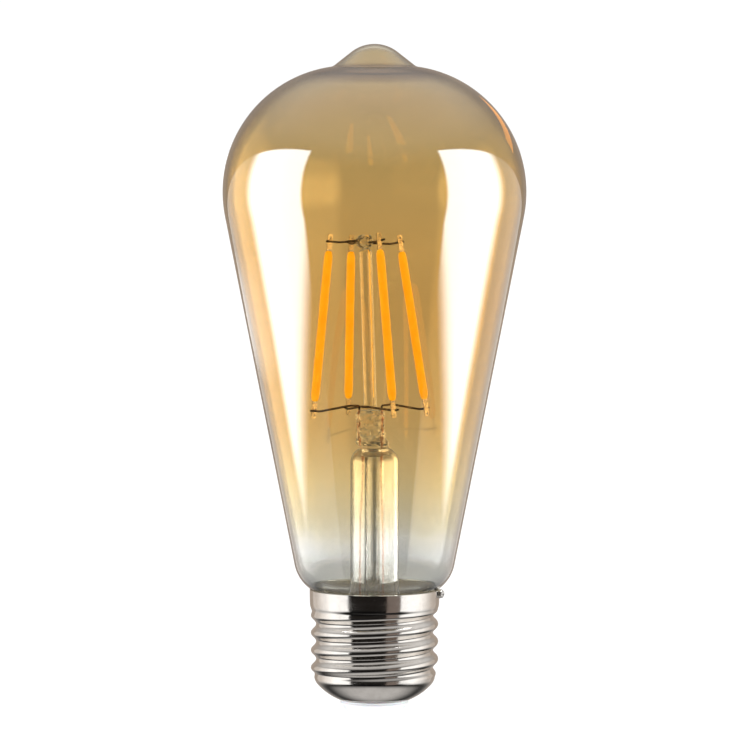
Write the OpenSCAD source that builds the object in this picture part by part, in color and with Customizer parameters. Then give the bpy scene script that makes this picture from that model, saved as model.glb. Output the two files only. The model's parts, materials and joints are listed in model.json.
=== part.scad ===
// LED filament lamp with a teardrop amber glass, a glass stem mount with four LED filaments,
// and an E27 screw cap that holds the driver and the radio of the smart control.
// Millimetres. The origin is the middle of the centre contact's flat face, and +Z runs up to the glass tip.

/* [Glass] */
// Largest radius of the glass
bulb_r = 31.25; // [30:0.05:32]
// Radius of the shoulder arc, in the section through the axis
shoulder_r = 26; // [25:0.1:27]
// Height of the largest radius above the centre contact
shoulder_z = 108.7; // [107:0.1:110]
// Lean of the straight side from vertical, in degrees
side_angle = 11.2; // [11.1:0.05:11.3]
// Radius of the heel arc that turns the side in to the neck
heel_r = 8; // [7.8:0.1:8.4]
// Height at which the heel arc starts
heel_z = 31.8; // [31.7:0.1:32.2]
// Radius of the neck inside the cap
neck_r = 11.3; // [11:0.05:11.4]
// Wall thickness of the glass
glass_wall = 0.8; // [0.6:0.05:1]
// Radius of the round tip on the dome
tip_r = 7.7; // [6.8:0.1:8]
// Slope of the tip's side, in degrees below level
tip_slope = 38; // [34:1:42]
// Full length of the lamp, contact to tip
lamp_length = 139.1; // [138:0.1:140]

/* [Screw cap] */
// Thread crest radius
crest_r = 13.18; // [13.03:0.01:13.2]
// Thread root radius
root_r = 12.08; // [12:0.01:12.15]
// Thread pitch, seven turns to the inch
pitch = 3.629; // [3.6:0.001:3.65]
// Height of the cap's rim
rim_z = 26.65; // [26.5:0.05:26.7]
// Outer radius of the cap's rim
rim_r = 13.42; // [13.4:0.01:13.5]
// Thickness of the cap's sheet metal
sheet = 0.25; // [0.2:0.01:0.26]
// Number of the thread's flat sides per turn
shell_sides = 40; // [32:4:48]

/* [Stem] */
// Outer radius of the stem tube
stem_r = 5; // [4.8:0.1:5.2]
// Wall of the stem tube
stem_wall = 0.8; // [0.6:0.1:0.9]
// Height of the top of the stem tube
stem_top = 56.2; // [55:0.1:57]
// Height of the top of the pinch
pinch_top = 63.9; // [63:0.1:64.5]
// Sideways offset of the pinch from the lamp axis
pinch_x = -0.85; // [-1:0.05:0]
// Lean of the filament mount above the pinch, in degrees
mount_lean = 1.8; // [0:0.1:2.5]
// Radius of the glass post
post_r = 1.35; // [1.2:0.05:1.5]

/* [Filaments] */
// Length of a filament over its end tabs
filament_length = 38; // [37:0.5:38]
// Length of the phosphor coat
coat_length = 31; // [29:0.5:31.5]
// Radius of the phosphor coat
coat_r = 0.88; // [0.8:0.02:0.95]
// Distance of the upper welds from the mount axis
top_ring_r = 7.8; // [7.5:0.1:9]
// Distance of the lower welds from the mount axis
low_ring_r = 12.45; // [12:0.05:13]
// Turn of the filament square about the mount axis, in degrees
ring_turn = 22; // [0:1:45]
// Diameter of the support wires
wire_d = 0.45; // [0.35:0.05:0.5]

/* [Driver] */
// Radius of the driver board
board_r = 11.1; // [10.9:0.05:11.1]
// Height of the driver board's upper face
board_top = 10.4; // [10.2:0.1:10.8]

/* [Hidden] */
$fn = 64;

arc_step = 4;              // degrees between the points of an arc in a section
fit_gap = 0.02;            // clearance where two pieces only touch

// Sections of revolution

function arc(c, r, a0, a1) =
    let (n = max(2, ceil(abs(a1 - a0) / arc_step)))
    [for (i = [0:n]) c + r * [cos(a0 + (a1 - a0) * i / n), sin(a0 + (a1 - a0) * i / n)]];
function heading(from, to) = atan2(to[1] - from[1], to[0] - from[0]);
function turned(a) = a < 0 ? a + 360 : a;
function reversed(v) = [for (i = [len(v) - 1:-1:0]) v[i]];
// First point at distance r from c on the ray from p along the unit vector dir
function reaching(p, dir, c, r) =
    let (w = p - c, b = w * dir) p + dir * (-b - sqrt(b * b - w * w + r * r));

tip_fillet = 1.6;
neck_fillet = 4;
neck_bottom = 20.5;
shoulder_c = [bulb_r - shoulder_r, shoulder_z];
tip_c = [0, lamp_length - tip_r];
tip_fillet_c = reaching(tip_c + (tip_r + tip_fillet) * [sin(tip_slope), cos(tip_slope)],
    [cos(tip_slope), -sin(tip_slope)], shoulder_c, shoulder_r + tip_fillet);
side_normal = [cos(side_angle), -sin(side_angle)];
side_top = shoulder_c + shoulder_r * side_normal;
side_low = side_top - [tan(side_angle), 1] * (side_top[1] - heel_z);
heel_c = side_low - heel_r * side_normal;
neck_fillet_c = [neck_r + neck_fillet,
    heel_c[1] - sqrt(pow(heel_r + neck_fillet, 2) - pow(neck_r + neck_fillet - heel_c[0], 2))];

// The envelope's section, moved inwards by t: from the neck's end up to the tip
function envelope_path(t) = concat(
    [[neck_r - t, neck_bottom]],
    arc(neck_fillet_c, neck_fillet + t, 180, heading(neck_fillet_c, heel_c)),
    arc(heel_c, heel_r - t, heading(heel_c, neck_fillet_c), -side_angle),
    arc(shoulder_c, shoulder_r - t, -side_angle, heading(shoulder_c, tip_fillet_c)),
    arc(tip_fillet_c, tip_fillet + t, turned(heading(tip_fillet_c, shoulder_c)),
        270 - tip_slope),
    arc(tip_c, tip_r - t, 90 - tip_slope, 90));

module glass_envelope() {
    color([0.86, 0.68, 0.38, 0.35])
        rotate_extrude($fn = 128)
            polygon(concat(envelope_path(0), reversed(envelope_path(glass_wall))));
}

// Swept wires

function unit(v) = v / norm(v);
function across(n, t) = unit(n - t * (n * t));
function tangents(p) =
    [for (i = [0:len(p) - 1]) unit(p[min(i + 1, len(p) - 1)] - p[max(i - 1, 0)])];
// Carries one normal along the path without twist
function carried(t, n, i = 0) =
    i == len(t) ? [] : let (m = across(n, t[i])) concat([m], carried(t, m, i + 1));
// Rounds each corner of a path over the length bend
function rounded(p, bend, steps = 4) = concat([p[0]],
    [for (i = [1:len(p) - 2])
        let (a = p[i] + unit(p[i - 1] - p[i]) * bend, b = p[i] + unit(p[i + 1] - p[i]) * bend)
        for (s = [0:steps])
            let (t = s / steps) a * pow(1 - t, 2) + p[i] * 2 * t * (1 - t) + b * t * t],
    [p[len(p) - 1]]);
// Triangles between two neighbouring rings of n points, where ring i starts at point i * n
function band(i, n) = [for (j = [0:n - 1])
    let (k = (j + 1) % n, a = i * n, b = (i + 1) * n)
    each [[a + j, b + k, a + k], [a + j, b + j, b + k]]];

module wire(path, d, sides = 8) {
    t = tangents(path);
    seed = abs(t[0][0]) > 0.6 ? [0, 1, 0] : [1, 0, 0];
    n = carried(t, seed);
    rings = [for (i = [0:len(path) - 1]) for (j = [0:sides - 1])
        path[i] + d / 2 * (cos(360 * j / sides) * n[i] + sin(360 * j / sides) * cross(t[i], n[i]))];
    last = len(path) - 1;
    polyhedron(rings, concat(
        [[for (j = [0:sides - 1]) j]],
        [for (i = [0:last - 1]) each band(i, sides)],
        [[for (j = [sides - 1:-1:0]) last * sides + j]]));
}

// Screw cap

thread_mid = (crest_r + root_r) / 2;
thread_amp = (crest_r - root_r) / 2;
crest_left_z = 21.3;       // height of a crest on the -X side
thread_low = 8.3;          // the thread fades in between thread_low and thread_full_low
thread_full_low = 10.2;
thread_full_top = 21;
thread_top = 22.8;         // and fades out between thread_full_top and thread_top
rows_per_turn = 8;
thread_rows = ceil((thread_full_top - thread_full_low) / pitch * rows_per_turn);

function smooth(x) = let (u = min(1, max(0, x))) u * u * (3 - 2 * u);
function thread_share(z) = smooth((z - thread_low) / (thread_full_low - thread_low))
    * smooth((thread_top - z) / (thread_top - thread_full_top));
// The cap's section without its thread, from the lip round the insulator up to the rim
cap_path = concat(
    [[7.2, 3.78], [8.4, 4.36], [9.4, 4.95], [10.3, 5.6], [11.05, 6.25], [11.7, 6.9]],
    [[12.15, 7.5], [12.42, 8.15], [12.5, 8.8], [12.56, 9.5]],
    [for (i = [0:thread_rows])
        [thread_mid, thread_full_low + (thread_full_top - thread_full_low) * i / thread_rows]],
    [[12.72, 21.6], [12.96, 22.2], [13.16, 22.8], [13.34, 23.5], [rim_r - 0.02, 25], [rim_r, rim_z]]);
function cap_normal(i) =
    let (t = unit(cap_path[min(i + 1, len(cap_path) - 1)] - cap_path[max(i - 1, 0)])) [t[1], -t[0]];
// The rim has a nick where the lead to the shell comes over it
nick_depth = 0.5;
solder_angle = -360 / shell_sides;
function cap_ring(i, inset) = let (p = cap_path[i] - inset * cap_normal(i), z = cap_path[i][1])
    [for (j = [0:shell_sides - 1]) let (a = 360 * j / shell_sides,
        r = p[0] + thread_share(z) * thread_amp * cos(360 * (z - crest_left_z) / pitch - a + 180),
        at_rim = i == len(cap_path) - 1, nick = j == shell_sides - 1 ? nick_depth : 0)
        [r * cos(a), r * sin(a), at_rim ? rim_z - nick : p[1]]];

module screw_shell() {
    rows = len(cap_path);
    points = concat(
        [for (i = [0:rows - 1]) each cap_ring(i, 0)],
        [for (i = [rows - 1:-1:0]) each cap_ring(i, sheet)]);
    n = shell_sides;
    last = 2 * rows - 1;
    closing = [for (j = [0:n - 1]) let (k = (j + 1) % n)
        each [[last * n + j, k, last * n + k], [last * n + j, j, k]]];
    color([0.80, 0.78, 0.74])
        polyhedron(points, concat([for (i = [0:last - 1]) each band(i, n)], closing));
}

contact_face = 0.2;        // thickness of the contact's head
rivet_r = 1.2;
insulator_top = 5.6;

module cap_insulator() {
    color([0.93, 0.94, 0.96])
        rotate_extrude()
            polygon(concat(
                [[rivet_r, contact_face]],
                arc([4.5, contact_face + 0.5], 0.5, -90, -34),
                [[6.85, 2.9], [7.15, 3.35], [6.9, 3.5], [6.9, 4.02], [7.5, 4.4], [7.5, insulator_top],
                 [6.4, insulator_top], [5.6, 3.4], [2.4, 2.4], [2.4, 3.6], [rivet_r, 3.6]]));
}

module center_contact() {
    color([0.78, 0.76, 0.72])
        rotate_extrude()
            polygon([[0, 0], [3.1, 0], [3.35, 0.08], [3.4, contact_face], [rivet_r, contact_face],
                     [rivet_r, 4.2], [0.8, 4.6], [0, 4.6]]);
}

solder_z = 25.95;
// Section of the blob before its inner side is cut to the shell
solder_drop = [[0, -1.05], [0.5, -0.95], [0.85, -0.45], [0.9, 0.1], [0.65, 0.75], [0, 1.05]];
module side_solder() {
    color([0.72, 0.70, 0.66])
        difference() {
            rotate([0, 0, solder_angle])
                translate([rim_r + 0.3, 0, solder_z])
                    rotate_extrude()
                        polygon(solder_drop);
            cylinder(h = 40, r = rim_r + fit_gap, $fn = 128);
        }
}

cement_low = 21.8;
cement_top = 26.4;
// The cement's outer side, just inside the shell, from the top down
cement_side = [[13.02, cement_top], [13, 25], [12.9, 23.8], [12.7, 23], [12.4, 22.3], [11.62, cement_low]];
module basing_cement() {
    inner = [for (p = envelope_path(-fit_gap)) if (p[1] > cement_low && p[1] < cement_top) p];
    color([0.86, 0.82, 0.70])
        difference() {
            rotate_extrude($fn = 128)
                polygon(concat([[neck_r + fit_gap, cement_low]], inner, cement_side));
            shell_lead_solid();
        }
}

// Stem

flare_low = neck_bottom + 0.1;
flare_fillet = 5.2;
shoulder_stem_r = 3.2;

// The flare tube's section, moved inwards by t: from the flared edge up to the shoulder
function flare_path(t) = let (
        c = [stem_r + flare_fillet, flare_low + flare_fillet + 0.9],
        s = [stem_r - shoulder_stem_r, stem_top - shoulder_stem_r])
    concat(
        [[neck_r - glass_wall - fit_gap, c[1] - flare_fillet - t]],
        arc(c, flare_fillet + t, 270, 180),
        arc(s, shoulder_stem_r - t, 0, 66));

module stem_flare_tube() {
    color([0.85, 0.88, 0.86, 0.3])
        rotate_extrude($fn = 96)
            polygon(concat(reversed(flare_path(0)), flare_path(stem_wall)));
}

exhaust_r = 2;
exhaust_wall = 0.5;
exhaust_low = 14.6;
exhaust_top = 54.4;
plug_low = exhaust_top + fit_gap;
module exhaust_tube() {
    color([0.85, 0.88, 0.86, 0.3])
        rotate_extrude()
            polygon(concat(
                arc([0, exhaust_low + exhaust_r], exhaust_r, -90, 0),
                [[exhaust_r, exhaust_top], [exhaust_r - exhaust_wall, exhaust_top]],
                arc([0, exhaust_low + exhaust_r + 0.4], exhaust_r - exhaust_wall, 0, -90)));
}

pinch_w = 6;
pinch_t = 3.8;
pinch_round = 1.4;
lead_left = [-2.4, -0.6];
lead_right = [1.35, -2.1];
vent_r = 0.6;

module pinch_outline() {
    translate([pinch_x, 0]) {
        square([pinch_w - 2 * pinch_round, pinch_t], center = true);
        square([pinch_w, pinch_t - 2 * pinch_round], center = true);
        for (x = [-1, 1], y = [-1, 1])
            translate([x * (pinch_w / 2 - pinch_round), y * (pinch_t / 2 - pinch_round)])
                circle(pinch_round);
    }
}

module stem_pinch() {
    shoulder = [for (p = flare_path(stem_wall + fit_gap)) if (p[1] > plug_low) p];
    neck_in = shoulder[len(shoulder) - 1][0] - 0.02;
    color([0.85, 0.88, 0.86, 0.3])
        difference() {
            union() {
                rotate_extrude()
                    polygon(concat([[0, plug_low], [shoulder[0][0], plug_low]], shoulder,
                        [[neck_in, stem_top], [3.3, stem_top], [3.3, stem_top + 1.4], [0, stem_top + 1.4]]));
                translate([0, 0, stem_top + 0.8])
                    linear_extrude(pinch_top - stem_top - 0.8)
                        pinch_outline();
            }
            translate([0, 0, plug_low - 1])
                cylinder(h = 4, r = vent_r);
            translate([0, 0, plug_low + 2.4])
                rotate([-90, 0, 0])
                    cylinder(h = 8, r = vent_r);
            wire(seal_path_left, wire_d);
            wire(seal_path_right, wire_d);
        }
}

// Filament mount. Points and shapes in the mount's own frame have their origin at the pinch top.

function mounted(p) = [pinch_x, 0, pinch_top] + [
    p[0] * cos(mount_lean) - p[2] * sin(mount_lean), p[1],
    p[0] * sin(mount_lean) + p[2] * cos(mount_lean)];
module on_mount() {
    translate([pinch_x, 0, pinch_top])
        rotate([0, -mount_lean, 0])
            children();
}

weld_low = 0.1;            // heights of the welds above the pinch top
weld_top = 34.7;
bead_z = weld_top + 0.05;
bead_r = 1.75;
bead_half = 1.45;
filament_tilt = atan((low_ring_r - top_ring_r) / (weld_top - weld_low));
filament_mid = [(low_ring_r + top_ring_r) / 2, (weld_low + weld_top) / 2];
filament_turns = [180, 90, 270, 0];
filament_rise = [0.35, -0.3, 0.5, -0.5];   // they are welded by hand, not quite level
function filament_angle(k) = ring_turn + filament_turns[k - 1];
// A point given in filament k's own frame: x away from the mount axis, z along the filament
function on_filament_at(k, p) =
    let (a = filament_angle(k),
         x = filament_mid[0] + p[0] * cos(filament_tilt) - p[2] * sin(filament_tilt),
         z = filament_mid[1] + filament_rise[k - 1] + p[0] * sin(filament_tilt) + p[2] * cos(filament_tilt))
    [x * cos(a) - p[1] * sin(a), x * sin(a) + p[1] * cos(a), z];
module on_filament(k) {
    on_mount()
        rotate([0, 0, filament_angle(k)])
            translate([filament_mid[0], 0, filament_mid[1] + filament_rise[k - 1]])
                rotate([0, -filament_tilt, 0])
                    children();
}

tab_w = 1;
tab_t = 0.3;
tab_hole_r = 0.25;
tab_hole_in = 0.6;
weld_z = (weld_top - weld_low) / cos(filament_tilt) / 2;
carrier_w = 0.8;
carrier_t = 0.3;
chip_count = 28;
chip_size = [0.14, 0.34, 0.7];
// Filaments 1 and 4 show the flat of their tabs sideways, 2 and 3 show it outwards
function tab_flat_sideways(k) = k == 1 || k == 4;
function weld_side(k) = (tab_flat_sideways(k) ? tab_t : tab_w) / 2 + wire_d / 2 + fit_gap;

module glass_post() {
    color([0.85, 0.88, 0.86, 0.3])
        on_mount()
            translate([0, 0, 0.06])
                cylinder(h = bead_z - bead_half - 0.06, r = post_r);
}

module post_bead() {
    color([0.85, 0.88, 0.86, 0.3])
        difference() {
            on_mount()
                translate([0, 0, bead_z])
                    rotate_extrude()
                        polygon([for (i = [0:10]) let (a = -90 + 18 * i)
                            [i == 0 || i == 10 ? 0 : bead_r * cos(a), bead_half * sin(a)]]);
            wire(top_path(1, 2, 0.35), wire_d);
            wire(top_path(3, 4, -0.35), wire_d);
        }
}

coat_taper = 1.4;
module filament_coat(k) {
    half = coat_length / 2;
    color([1, 0.62, 0.05])
        on_filament(k)
            difference() {
                rotate_extrude($fn = 48)
                    polygon([[0, -half], [coat_r * 0.62, -half], [coat_r * 0.88, -half + coat_taper * 0.4],
                             [coat_r, -half + coat_taper], [coat_r, half - coat_taper],
                             [coat_r * 0.88, half - coat_taper * 0.4], [coat_r * 0.62, half], [0, half]]);
                carrier_block(k, coat_length + 2, 0);
                chip_tunnel(k);
            }
}

module facing(k) {
    rotate([0, 0, tab_flat_sideways(k) ? 90 : 0])
        children();
}
module carrier_block(k, length, grow) {
    facing(k)
        cube([carrier_t + 2 * grow, carrier_w + 2 * grow, length], center = true);
}
module chip_tunnel(k) {
    facing(k)
        translate([carrier_t / 2, -chip_size[1] / 2, -coat_length / 2 + 1.2])
            cube([chip_size[0], chip_size[1], coat_length - 2.4]);
}

carrier_over = 0.35;       // the carrier reaches this far out of the coat
module filament_carrier(k) {
    color([0.92, 0.92, 0.88])
        on_filament(k)
            carrier_block(k, coat_length + 2 * carrier_over, 0);
}

module filament_chips(k) {
    first = -coat_length / 2 + 1.25;
    step = (coat_length - 2.5) / chip_count;
    color([0.55, 0.65, 0.85])
        on_filament(k)
            facing(k)
                for (i = [0:chip_count - 1])
                    translate([carrier_t / 2, -chip_size[1] / 2, first + step * (i + 0.5) - chip_size[2] / 2])
                        cube(chip_size);
}

module filament_end_tabs(k) {
    length = (filament_length - coat_length) / 2;
    color([0.62, 0.60, 0.56])
        on_filament(k)
            for (end = [-1, 1])
                facing(k)
                    difference() {
                        translate([0, 0, end * (coat_length / 2 + length / 2)])
                            cube([tab_t, tab_w, length], center = true);
                        translate([0, 0, end * (coat_length / 2 + carrier_over / 2)])
                            cube([1, carrier_w + fit_gap, carrier_over + fit_gap], center = true);
                        translate([0, 0, end * (filament_length / 2 - tab_hole_in)])
                            rotate([0, 90, 0])
                                cylinder(h = 2, r = tab_hole_r, center = true, $fn = 24);
                    }
}

// Wires of the mount

tail = 1;                  // a wire runs this far past its weld
// The end of a wire at a filament: from weld_reach inside the weld to tail outside it
function arm_end(k, z, x) = mounted(on_filament_at(k, [x, weld_side(k), z]));

// The angle midway between two neighbouring filaments
function between(a, b) =
    let (p = filament_angle(a), q = filament_angle(b)) (p + q + (abs(p - q) > 180 ? 360 : 0)) / 2;
// An upper wire runs from filament a through the bead to filament b, side mm off the bead's middle
function top_path(a, b, side) =
    let (turn = between(a, b), reach = abs(side) * 1.2,
         v = mounted([reach * cos(turn), reach * sin(turn), bead_z + side * 0.9]))
    rounded([arm_end(a, weld_z, tail), arm_end(a, weld_z, -2), v,
        arm_end(b, weld_z, -2), arm_end(b, weld_z, tail)], 0.6);

lead_rise = 1.0;           // the lower leads rise this far out of the pinch before they bend outwards
function lead_path(k, foot) =
    let (inner = mounted(on_filament_at(k, [-low_ring_r * 0.62, weld_side(k), -weld_z])))
    rounded(
        [[foot[0], foot[1], pinch_top], [foot[0], foot[1], pinch_top + lead_rise * 0.9],
         [inner[0], inner[1], pinch_top + lead_rise],
         arm_end(k, -weld_z, -1.2), arm_end(k, -weld_z, tail)],
        0.55);
left_foot = [pinch_x - 2.3, -0.5];
right_foot = [pinch_x + 2.3, -0.5];
jumper_z = 0.7;
jumper_ring = post_r + wire_d / 2 + 0.1;
// The jumper joins the lower ends of filaments 2 and 3 and hooks round the post on its way
function jumper_path() = concat(
    [arm_end(2, -weld_z, tail), arm_end(2, -weld_z, -1.5)],
    [for (a = [160:20:260]) mounted([jumper_ring * cos(a), jumper_ring * sin(a), jumper_z])],
    [arm_end(3, -weld_z, -1.5), arm_end(3, -weld_z, tail)]);

seal_low = stem_top - 3;
function seal_path(foot, lead) = rounded(
    [[lead[0], lead[1], seal_low], [lead[0], lead[1], stem_top - 0.7], [foot[0], foot[1], stem_top + 3],
     [foot[0], foot[1], pinch_top]], 0.6);
seal_path_left = seal_path(left_foot, lead_left);
seal_path_right = seal_path(right_foot, lead_right);

module lead_wire_left() {
    color([0.45, 0.40, 0.34]) wire(lead_path(1, left_foot), wire_d);
}
module lead_wire_right() {
    color([0.45, 0.40, 0.34]) wire(lead_path(4, right_foot), wire_d);
}
module seal_wire_left() {
    color([0.62, 0.32, 0.20]) wire(seal_path_left, wire_d);
}
module seal_wire_right() {
    color([0.62, 0.32, 0.20]) wire(seal_path_right, wire_d);
}
module top_wire_left() {
    color([0.45, 0.40, 0.34]) wire(top_path(1, 2, 0.35), wire_d);
}
module top_wire_right() {
    color([0.45, 0.40, 0.34]) wire(top_path(3, 4, -0.35), wire_d);
}
module bottom_jumper_wire() {
    color([0.45, 0.40, 0.34]) wire(jumper_path(), wire_d);
}

outer_lead_d = 0.4;
function outer_lead_path(lead, pad) = rounded(
    [[pad[0], pad[1], board_top + fit_gap], [pad[0], pad[1], board_top + 3],
     [lead[0] * 1.25, lead[1] * 1.25, neck_bottom + 4], [lead[0] * 1.2, lead[1] * 1.2, 40],
     [lead[0], lead[1], stem_top - 6], [lead[0], lead[1], seal_low - fit_gap]], 0.7);
module outer_lead_left() {
    color([0.72, 0.45, 0.28]) wire(outer_lead_path(lead_left, [-5.4, -5.2]), outer_lead_d);
}
module outer_lead_right() {
    color([0.72, 0.45, 0.28]) wire(outer_lead_path(lead_right, [1.2, -9]), outer_lead_d);
}

// Driver in the cap

board_t = 1;
board_low = board_top - board_t - fit_gap;
module driver_board() {
    color([0.20, 0.42, 0.25])
        translate([0, 0, board_top - board_t])
            cylinder(h = board_t, r = board_r);
}
module on_board(x, y, turn = 0) {
    translate([x, y, board_top])
        rotate([0, 0, turn])
            children();
}
module chip_package(body, legs, pitch_y) {
    translate([-body[0] / 2, -body[1] / 2, 0.15])
        cube(body);
    for (side = [-1, 1], i = [0:legs - 1])
        translate([side * (body[0] / 2 + 0.45), (i - (legs - 1) / 2) * pitch_y, 0.15])
            cube([1, 0.45, 0.3], center = true);
}
module bridge_rectifier() {
    color([0.10, 0.10, 0.11]) on_board(-3, 7.2, 12) chip_package([3.8, 4.6, 1.5], 2, 2.5);
}
module driver_chip() {
    color([0.10, 0.10, 0.11]) on_board(4.4, 6.1, -35) chip_package([3.8, 4.9, 1.4], 4, 1.27);
}
module bulk_capacitor() {
    color([0.12, 0.14, 0.20])
        on_board(6.6, -2.2)
            rotate_extrude()
                polygon([[0, 0.1], [2.4, 0.1], [2.5, 0.4], [2.5, 1], [2.35, 1.2], [2.5, 1.4], [2.5, 5.6],
                         [2.3, 5.8], [0, 5.8]]);
}
choke_at = [1.8, -4.8];
choke_r = 1.9;
choke_waist = 0.9;
choke_h = 3.6;
choke_flange = 0.7;
module choke_core() {
    color([0.18, 0.18, 0.19])
        on_board(choke_at[0], choke_at[1])
            rotate_extrude()
                polygon([[0, 0], [choke_r, 0], [choke_r, choke_flange], [choke_waist, choke_flange],
                         [choke_waist, choke_h - choke_flange], [choke_r, choke_h - choke_flange],
                         [choke_r, choke_h], [0, choke_h]]);
}
module choke_winding() {
    color([0.75, 0.42, 0.20])
        on_board(choke_at[0], choke_at[1])
            translate([0, 0, choke_flange + fit_gap])
                difference() {
                    cylinder(h = choke_h - 2 * (choke_flange + fit_gap), r = 1.7);
                    translate([0, 0, -1])
                        cylinder(h = choke_h + 1, r = choke_waist + fit_gap);
                }
}
resistor_z = 7.4;
module fusible_resistor() {
    color([0.35, 0.60, 0.62])
        translate([0, 2.8, resistor_z]) {
            rotate([0, 90, 0])
                rotate_extrude($fn = 40)
                    polygon([[0, -3.2], [1.1, -3.2], [1.3, -2.9], [1.3, -2], [1.05, -1.7], [1.05, 1.7],
                             [1.3, 2], [1.3, 2.9], [1.1, 3.2], [0, 3.2]]);
            wire(rounded([[-3, 0, 0], [-4.2, 0, 0], [-4.2, 0, board_low - resistor_z]], 0.4), 0.5);
        }
}
radio_at = [-6.3, 0.2];
radio_size = [6, 6.6, 0.8];
module radio_board() {
    color([0.10, 0.20, 0.34])
        on_board(radio_at[0], radio_at[1])
            translate([0, 0, radio_size[2] / 2 + fit_gap])
                cube(radio_size, center = true);
}
module radio_shield() {
    can = [4.6, 4.8, 1.8];
    color([0.75, 0.75, 0.76])
        on_board(radio_at[0], radio_at[1] - 0.5)
            translate([0, 0, radio_size[2] + 2 * fit_gap + can[2] / 2])
                difference() {
                    cube(can, center = true);
                    translate([0, 0, -0.2])
                        cube(can - [0.4, 0.4, 0.2], center = true);
                }
}
module antenna_wire() {
    z0 = board_top + radio_size[2] + 2 * fit_gap;
    path = [[-4.6, 3, z0], [-4.6, 3, z0 + 3], [0.6, 3.3, neck_bottom + 3.5], [0.6, 3.1, 43]];
    color([0.85, 0.85, 0.86]) wire(rounded(path, 0.7), 0.4);
}
module contact_lead() {
    path = [[0, 0, 4.62], [0, 0, 5.3], [1.8, 0.5, 5.5], [4.3, 1.5, 5.9], [4.3, 2.8, 6.6],
        [4.3, 2.8, resistor_z], [3.22, 2.8, resistor_z]];
    color([0.78, 0.78, 0.76]) wire(rounded(path, 0.25), 0.4);
}
shell_lead_d = 0.28;
shell_lead_points = [for (p = [[10.3, board_top + fit_gap], [10.3, 13], [10.6, 16.8], [11.53, 19.6],
    [11.53, 22.8], [11.75, 24.5], [12.1, 25.4], [12.99, 26.38], [13.36, 26.56]])
    [p[0] * cos(solder_angle), p[0] * sin(solder_angle), p[1]]];
module shell_lead_solid() {
    wire(rounded(shell_lead_points, 0.2, 3), shell_lead_d);
}
module shell_lead() {
    color([0.78, 0.78, 0.76]) shell_lead_solid();
}
// The sleeve keeps the board off the shell, and the board rests on its ledge
sleeve_top = 16.4;
sleeve_r = 11.7;
ledge_r = 10.5;
module insulating_sleeve() {
    color([0.88, 0.88, 0.84])
        rotate_extrude()
            polygon([[ledge_r, board_low - 0.5], [sleeve_r, board_low - 0.3], [sleeve_r, sleeve_top],
                     [board_r + 0.1, sleeve_top], [board_r + 0.1, board_low], [ledge_r, board_low]]);
}

glass_envelope();
screw_shell();
cap_insulator();
center_contact();
side_solder();
basing_cement();
stem_flare_tube();
exhaust_tube();
stem_pinch();
glass_post();
post_bead();
lead_wire_left();
lead_wire_right();
seal_wire_left();
seal_wire_right();
outer_lead_left();
outer_lead_right();
bottom_jumper_wire();
top_wire_left();
top_wire_right();
for (k = [1:4]) {
    filament_coat(k);
    filament_carrier(k);
    filament_chips(k);
    filament_end_tabs(k);
}
driver_board();
bridge_rectifier();
driver_chip();
bulk_capacitor();
choke_core();
choke_winding();
fusible_resistor();
radio_board();
radio_shield();
antenna_wire();
contact_lead();
shell_lead();
insulating_sleeve();
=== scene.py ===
"""Filament lamp with an amber glass, a glass stem mount and a screw cap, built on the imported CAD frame."""

import json
import math

import bmesh
import bpy
import numpy as np
from mathutils import Matrix, Vector, noise

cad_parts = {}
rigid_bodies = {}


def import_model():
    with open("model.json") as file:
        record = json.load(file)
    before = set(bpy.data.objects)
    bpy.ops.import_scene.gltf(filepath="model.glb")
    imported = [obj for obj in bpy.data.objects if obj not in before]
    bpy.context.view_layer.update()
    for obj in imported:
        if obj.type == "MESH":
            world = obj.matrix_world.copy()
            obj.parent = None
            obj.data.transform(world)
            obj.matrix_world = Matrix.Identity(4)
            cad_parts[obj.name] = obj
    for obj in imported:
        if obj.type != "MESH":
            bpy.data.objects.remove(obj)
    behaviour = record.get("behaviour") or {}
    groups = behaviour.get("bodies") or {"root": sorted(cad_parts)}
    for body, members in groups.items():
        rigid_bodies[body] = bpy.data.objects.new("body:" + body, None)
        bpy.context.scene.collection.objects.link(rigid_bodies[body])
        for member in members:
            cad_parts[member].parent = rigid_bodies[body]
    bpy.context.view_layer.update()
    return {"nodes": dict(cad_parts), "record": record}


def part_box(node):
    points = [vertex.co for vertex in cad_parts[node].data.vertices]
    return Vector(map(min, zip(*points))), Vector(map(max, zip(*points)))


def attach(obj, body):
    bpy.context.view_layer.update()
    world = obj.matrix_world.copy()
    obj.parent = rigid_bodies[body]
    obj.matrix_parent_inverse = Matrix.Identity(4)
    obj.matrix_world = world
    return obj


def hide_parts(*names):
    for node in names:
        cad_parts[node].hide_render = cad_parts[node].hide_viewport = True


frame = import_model()

MM = 0.001
TURN = 2 * math.pi
noise.seed_set(7)    # without a seed, noise_vector changes with the clock
LAMP_LENGTH = 139.1


# ---------------------------------------------------------------- camera, light and floor

LAMP_MIDDLE = Vector((0.0001, 0, 0.071))
CAMERA_AT = Vector((0.0001, -0.985, 0.135))


def aim(obj, at, target):
    obj.location = at
    obj.rotation_euler = (Vector(target) - Vector(at)).to_track_quat("-Z", "Y").to_euler()


def make_camera():
    data = bpy.data.cameras.new("camera")
    data.sensor_width = 36
    data.lens = 229.9
    data.clip_start = 0.05
    data.clip_end = 200
    camera = bpy.data.objects.new("camera", data)
    bpy.context.collection.objects.link(camera)
    aim(camera, CAMERA_AT, LAMP_MIDDLE)
    bpy.context.scene.camera = camera


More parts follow.
